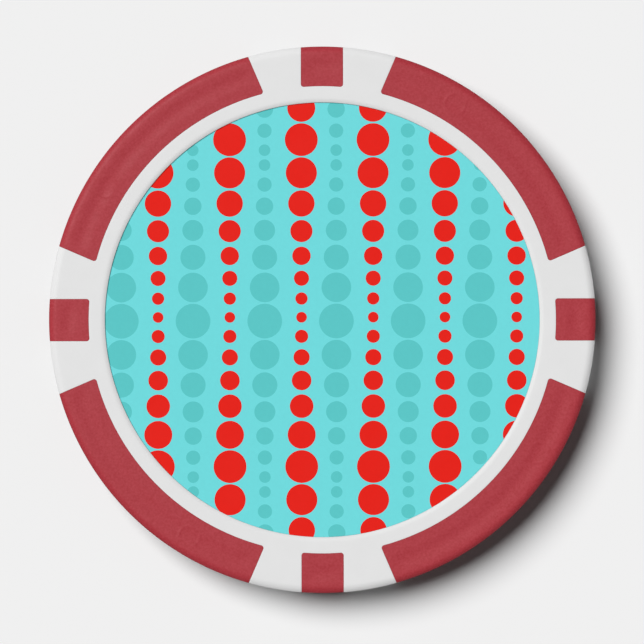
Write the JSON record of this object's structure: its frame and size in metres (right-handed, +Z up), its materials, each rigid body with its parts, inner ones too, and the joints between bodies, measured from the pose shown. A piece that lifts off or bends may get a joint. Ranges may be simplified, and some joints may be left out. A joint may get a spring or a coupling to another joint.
{
  "type": "poker chip",
  "caption": "Round gaming chip with coloured edge inserts, a printed label in a recess on each face and a steel weight inside.",
  "frame": {"origin": "centre of the lower face, on the plane that the chip rests on", "axes": "+Z up through the thickness, +Y towards one short insert and +X towards the next one"},
  "size_m": [0.039, 0.039, 0.0033],
  "materials": {
    "white_plastic": "fine matte moulded",
    "red_plastic": "fine matte moulded",
    "steel": "stamped, plain",
    "printed_label": "satin printed film",
    "adhesive": "clear film"
  },
  "bodies": {
    "root": {"lower_body_half": "white_plastic", "upper_body_half": "white_plastic", "steel_weight": "steel", "short_insert_north": "red_plastic", "short_insert_east": "red_plastic", "short_insert_south": "red_plastic", "short_insert_west": "red_plastic", "long_insert_north_east": "red_plastic", "long_insert_south_east": "red_plastic", "long_insert_south_west": "red_plastic", "long_insert_north_west": "red_plastic", "lower_label_adhesive": "adhesive", "lower_label": "printed_label", "upper_label_adhesive": "adhesive", "upper_label": "printed_label"}
  },
  "joints": []
}
